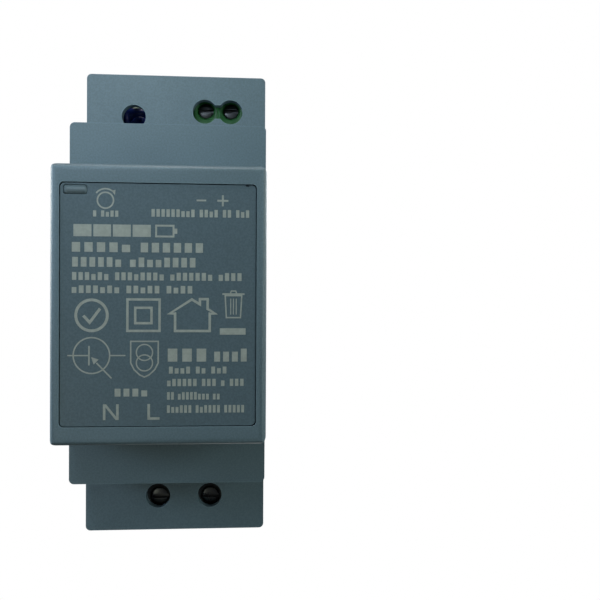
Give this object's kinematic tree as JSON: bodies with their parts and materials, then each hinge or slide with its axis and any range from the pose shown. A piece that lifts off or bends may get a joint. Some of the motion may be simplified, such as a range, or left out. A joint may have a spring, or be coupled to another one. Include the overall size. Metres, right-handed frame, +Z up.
{
  "type": "din rail power supply",
  "caption": "Slim power supply in a stepped modular housing that clips onto a 35 mm rail, with screw terminals at both ends, a trimmer and a lamp.",
  "frame": {"origin": "centre of the seat that lies on the front of the rail, midway along the width and level with the rail's centre line", "axes": "+X along the rail, +Z up with the output poles at the top, +Y towards the rail and the wall, so the front faces -Y"},
  "size_m": [0.035, 0.06, 0.09],
  "materials": {
    "housing_plastic": "fine moulded texture",
    "base_plastic": "fine moulded texture",
    "plate_plastic": "fine moulded texture",
    "clear_lens": "polished",
    "lamp_resin": "polished",
    "board_laminate": "solder mask, satin",
    "insulating_film": "satin film",
    "zinc_steel": "zinc plated",
    "spring_steel": "drawn wire",
    "green_block": "moulded, satin",
    "dark_block": "moulded, satin",
    "plated_brass": "nickel plated",
    "tinned_copper": "tinned",
    "trimmer_blue": "moulded, satin",
    "white_nylon": "moulded, satin",
    "fuse_glass": "clear glass",
    "fuse_metal": "nickel plated",
    "black_coating": "dipped lacquer",
    "blue_coating": "dipped epoxy",
    "yellow_case": "moulded, satin",
    "ferrite": "ground and fired",
    "enamelled_copper": "enamelled wire",
    "can_aluminium": "drawn",
    "can_sleeve": "shrunk film",
    "polyester_tape": "wound tape",
    "bobbin_phenolic": "moulded",
    "epoxy_black": "moulded",
    "sink_aluminium": "rolled sheet"
  },
  "bodies": {
    "root": {"front_housing": "housing_plastic", "rear_base": "base_plastic", "front_plate": "plate_plastic", "light_pipe": "clear_lens", "status_led": "lamp_resin", "main_board": "board_laminate", "insulation_sheet": "insulating_film", "board_screws": "zinc_steel", "rail_clip_spring": "spring_steel", "minus_pole_housing": "green_block", "plus_pole_housing": "green_block", "n_pole_housing": "dark_block", "l_pole_housing": "dark_block", "output_current_bars": "tinned_copper", "input_current_bars": "tinned_copper", "trimmer_body": "trimmer_blue", "fuse_tube": "fuse_glass", "fuse_caps": "fuse_metal", "inrush_thermistor": "black_coating", "surge_varistor": "blue_coating", "x_capacitor": "yellow_case", "y_capacitor": "blue_coating", "choke_core": "ferrite", "choke_windings": "enamelled_copper", "choke_base": "bobbin_phenolic", "bridge_rectifier": "epoxy_black", "bulk_capacitor": "can_aluminium", "bulk_capacitor_sleeve": "can_sleeve", "transformer_core": "ferrite", "transformer_bobbin": "bobbin_phenolic", "transformer_winding": "polyester_tape", "primary_heat_sink": "sink_aluminium", "primary_transistor": "epoxy_black", "secondary_heat_sink": "sink_aluminium", "secondary_rectifier": "epoxy_black", "heat_sink_screws": "zinc_steel", "output_capacitors": "can_aluminium", "output_capacitor_sleeves": "can_sleeve", "output_choke_core": "ferrite", "output_choke_winding": "enamelled_copper", "optocoupler": "white_nylon", "controller_chip": "epoxy_black", "small_parts": "epoxy_black", "component_leads": "tinned_copper"},
    "minus_screw": {"minus_screw": "zinc_steel"},
    "plus_screw": {"plus_screw": "zinc_steel"},
    "n_screw": {"n_screw": "zinc_steel"},
    "l_screw": {"l_screw": "zinc_steel"},
    "minus_cage": {"minus_cage": "plated_brass"},
    "plus_cage": {"plus_cage": "plated_brass"},
    "n_cage": {"n_cage": "plated_brass"},
    "l_cage": {"l_cage": "plated_brass"},
    "trimmer_rotor": {"trimmer_rotor": "trimmer_blue"},
    "rail_clip": {"rail_clip": "base_plastic"}
  },
  "joints": [
    {"name": "minus_screw_turn", "type": "hinge", "parent": "root", "child": "minus_screw", "pos_m": [0.0055, -0.028, 0.0391], "axis": [0, 1, 0], "range_deg": [0, 1520]},
    {"name": "minus_cage_rise", "type": "slide", "parent": "root", "child": "minus_cage", "axis": [0, -1, 0], "range_m": [0, 0.0019]},
    {"name": "plus_screw_turn", "type": "hinge", "parent": "root", "child": "plus_screw", "pos_m": [0.01058, -0.028, 0.0391], "axis": [0, 1, 0], "range_deg": [0, 1520]},
    {"name": "plus_cage_rise", "type": "slide", "parent": "root", "child": "plus_cage", "axis": [0, -1, 0], "range_m": [0, 0.0019]},
    {"name": "n_screw_turn", "type": "hinge", "parent": "root", "child": "n_screw", "pos_m": [-0.0034, -0.028, -0.0391], "axis": [0, 1, 0], "range_deg": [0, 1584]},
    {"name": "n_cage_rise", "type": "slide", "parent": "root", "child": "n_cage", "axis": [0, -1, 0], "range_m": [0, 0.0022]},
    {"name": "l_screw_turn", "type": "hinge", "parent": "root", "child": "l_screw", "pos_m": [0.00676, -0.028, -0.0391], "axis": [0, 1, 0], "range_deg": [0, 1584]},
    {"name": "l_cage_rise", "type": "slide", "parent": "root", "child": "l_cage", "axis": [0, -1, 0], "range_m": [0, 0.0022]},
    {"name": "trimmer_turn", "type": "hinge", "parent": "root", "child": "trimmer_rotor", "pos_m": [-0.0084, -0.0247, 0.0368], "axis": [0, 1, 0], "range_deg": [-105, 105]},
    {"name": "rail_clip_slide", "type": "slide", "parent": "root", "child": "rail_clip", "axis": [0, 0, -1], "range_m": [0, 0.004], "stiffness_N_per_m": 800, "springref_m": -0.005, "deforming": ["rail_clip_spring"]}
  ],
  "couplings": [
    {"joint": "minus_screw_turn", "follows": "minus_cage_rise", "rad_per_m": 13963},
    {"joint": "plus_screw_turn", "follows": "plus_cage_rise", "rad_per_m": 13963},
    {"joint": "n_screw_turn", "follows": "n_cage_rise", "rad_per_m": 12566},
    {"joint": "l_screw_turn", "follows": "l_cage_rise", "rad_per_m": 12566}
  ]
}
